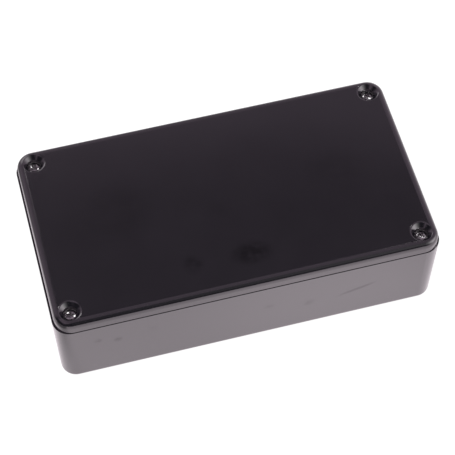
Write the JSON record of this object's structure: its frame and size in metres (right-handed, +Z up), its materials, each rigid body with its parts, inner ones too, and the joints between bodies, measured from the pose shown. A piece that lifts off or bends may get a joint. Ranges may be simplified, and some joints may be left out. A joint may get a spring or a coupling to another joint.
{
  "type": "aluminium enclosure",
  "caption": "Black rectangular die-cast box with drafted walls and round edges, closed by a lid that recessed cross-head corner screws hold down, for housing a small circuit.",
  "frame": {"origin": "centre of the base's underside", "axes": "+X along the length, +Y across the width away from the viewer, +Z up out of the lid"},
  "size_m": [0.1128, 0.0614, 0.0305],
  "materials": {
    "black_paint": "smooth satin-gloss black paint on a die-cast aluminium alloy",
    "screw_steel": "bright plated steel"
  },
  "bodies": {
    "base": {"base": "black_paint"},
    "lid": {"lid": "black_paint"},
    "screw_front_left": {"lid_screw_front_left": "screw_steel"},
    "screw_front_right": {"lid_screw_front_right": "screw_steel"},
    "screw_back_left": {"lid_screw_back_left": "screw_steel"},
    "screw_back_right": {"lid_screw_back_right": "screw_steel"}
  },
  "joints": [
    {"name": "lid_lift", "type": "slide", "parent": "base", "child": "lid", "axis": [0, 0, 1], "range_m": [0, 0.04]},
    {"name": "screw_front_left_out", "type": "slide", "parent": "lid", "child": "screw_front_left", "axis": [0, 0, 1], "range_m": [0, 0.016]},
    {"name": "screw_front_right_out", "type": "slide", "parent": "lid", "child": "screw_front_right", "axis": [0, 0, 1], "range_m": [0, 0.016]},
    {"name": "screw_back_left_out", "type": "slide", "parent": "lid", "child": "screw_back_left", "axis": [0, 0, 1], "range_m": [0, 0.016]},
    {"name": "screw_back_right_out", "type": "slide", "parent": "lid", "child": "screw_back_right", "axis": [0, 0, 1], "range_m": [0, 0.016]}
  ]
}
